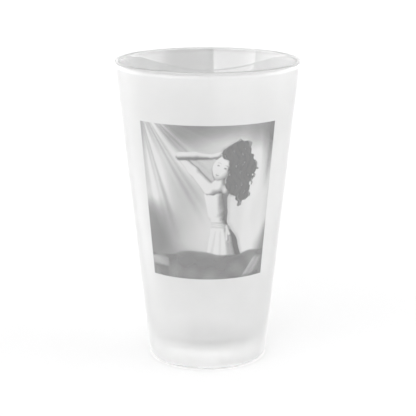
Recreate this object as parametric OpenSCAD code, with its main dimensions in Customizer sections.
// Frosted pint glass: a tapered, thick-based tumbler with a rounded lip,
// a satin coat on its outside and one printed picture on the coat.
// Millimetres, +Z up. The origin is the centre of the base, where it stands.
// The picture faces -Y.

/* [Glass] */
// Outside diameter across the lip
rim_d = 88.9; // [70:0.1:110]
// Height from the table to the top of the lip
height = 148; // [110:1:190]
// Outside diameter that the straight side would have at the table
base_d = 57.6; // [46:0.1:72]
// Thickness of the wall just under the lip, and of the lip's round bead
lip_t = 1.6; // [1.2:0.1:3.6]
// Thickness of the wall at the level of the drinking floor
heel_t = 6; // [3:0.1:7.5]
// Thickness of the solid base, from the table to the drinking floor
floor_t = 8.2; // [6:0.1:14]
// Radius of the corner between the inside wall and the drinking floor
floor_corner_r = 14; // [2:0.5:18]
// Radius of the outside corner at the foot
foot_corner_r = 3; // [1.5:0.1:4.5]

/* [Punt] */
// Depth of the hollow under the base
punt_depth = 1.6; // [0.8:0.1:2.6]
// Width of the flat ring that the glass stands on
foot_ring_w = 4; // [1.5:0.1:6]

/* [Satin coat] */
// Thickness of the sprayed satin coat
coat_t = 0.1; // [0.06:0.01:0.3]
// Clear band between the top of the lip and the coat
lip_band = 1; // [0.9:0.1:12]
// Height above the table at which the coat starts
coat_start = 0.8; // [0.4:0.1:1.2]

/* [Print] */
// Width of the print, measured round the glass at its middle
print_w = 63.8; // [30:0.1:105]
// Height of the print, measured straight up
print_h = 75.4; // [40:0.1:105]
// Distance from the top of the lip down to the print
print_drop = 24.8; // [12:0.1:30]
// Thickness of the printed ink
ink_t = 0.06; // [0.03:0.01:0.1]

/* [Hidden] */
$fn = 96;

rim_r = rim_d / 2;
foot_r = base_d / 2;

// The lip: a round bead as thick as the wall, as wide outside as the lip's diameter
bead_r = lip_t / 2;
bead_x = rim_r - bead_r;
bead_z = height - bead_r;

// How far the side leans outwards from upright: the line from the base's edge
// that touches the bead
lean = asin(bead_r / norm([foot_r - bead_x, bead_z])) - atan2(foot_r - bead_x, bead_z);

// The outside corner at the foot: a circle that touches the table and the side
foot_corner_x = foot_r + foot_corner_r * tan(lean) - foot_corner_r / cos(lean);

// The inside wall runs from the bead to the drinking floor's corner
inner_top_x = bead_x - bead_r;
inner_floor_x = side_x(floor_t) - heel_t;
inner_lean = atan2(inner_top_x - inner_floor_x, bead_z - floor_t);
floor_corner_x = inner_floor_x + floor_corner_r * tan(inner_lean)
    - floor_corner_r / cos(inner_lean);
floor_corner_z = floor_t + floor_corner_r;

// The punt is a shallow spherical dome inside the foot ring
punt_edge_x = foot_corner_x - foot_ring_w;
punt_r = (pow(punt_edge_x, 2) + pow(punt_depth, 2)) / (2 * punt_depth);

// The print sits on the coat, hung from the lip
print_top = height - print_drop;
print_bottom = print_top - print_h;
print_angle = print_w / side_x((print_top + print_bottom) / 2) * 180 / PI;
front = 270; // degrees round from +X to -Y

// Reach of the cutting strips past the glass
past = 5;

// Distance of the bare outside from the axis at height z
function side_x(z) = foot_r + z * tan(lean);

// Point on a circle, at an angle from +X towards +Z
function on_circle(x, z, r, angle) = [x + r * cos(angle), z + r * sin(angle)];

// Half of the outside as a solid profile, grown outwards by a coat's thickness
module outside_profile(grow = 0) {
    foot_round = foot_corner_r + grow;
    bead_round = bead_r + grow;
    union() {
        polygon([
            [0, -grow],
            [foot_corner_x, -grow],
            on_circle(foot_corner_x, foot_corner_r, foot_round, -lean),
            on_circle(bead_x, bead_z, bead_round, -lean),
            [bead_x, bead_z],
            [0, bead_z],
        ]);
        translate([foot_corner_x, foot_corner_r]) circle(r = foot_round);
        translate([bead_x, bead_z]) circle(r = bead_round);
    }
}

// Half of the space for the drink, open at the top
module drink_profile() {
    union() {
        polygon([
            [0, floor_t],
            [floor_corner_x, floor_t],
            on_circle(floor_corner_x, floor_corner_z, floor_corner_r, -inner_lean),
            on_circle(bead_x, bead_z, -bead_r, -inner_lean),
            [bead_x, bead_z],
            [0, bead_z],
        ]);
        translate([floor_corner_x, floor_corner_z]) circle(r = floor_corner_r);
    }
}

// Half of everything above the bead's centre and inside it
module mouth_profile() {
    translate([0, bead_z]) square([bead_x, past]);
}

module glass_body() {
    color([0.86, 0.89, 0.89, 0.45])
    rotate_extrude() union() {
        difference() {
            outside_profile();
            drink_profile();
            mouth_profile();
            translate([0, punt_depth - punt_r]) circle(r = punt_r);
        }
        translate([bead_x, bead_z]) circle(r = bead_r);
    }
}

// What lies between two growths of the outside, within a range of heights
module skin_profile(from, to, bottom, top) {
    intersection() {
        difference() {
            outside_profile(to);
            outside_profile(from);
            mouth_profile();
        }
        translate([0, bottom]) square([rim_r + past, top - bottom]);
    }
}

module satin_coat() {
    color([0.93, 0.94, 0.94, 0.6])
    rotate_extrude()
        skin_profile(0, coat_t, coat_start, height - lip_band);
}

module printed_picture() {
    color([0.5, 0.5, 0.5])
    rotate_extrude(angle = print_angle, start = front - print_angle / 2)
        skin_profile(coat_t, coat_t + ink_t, print_bottom, print_top);
}

glass_body();
satin_coat();
printed_picture();
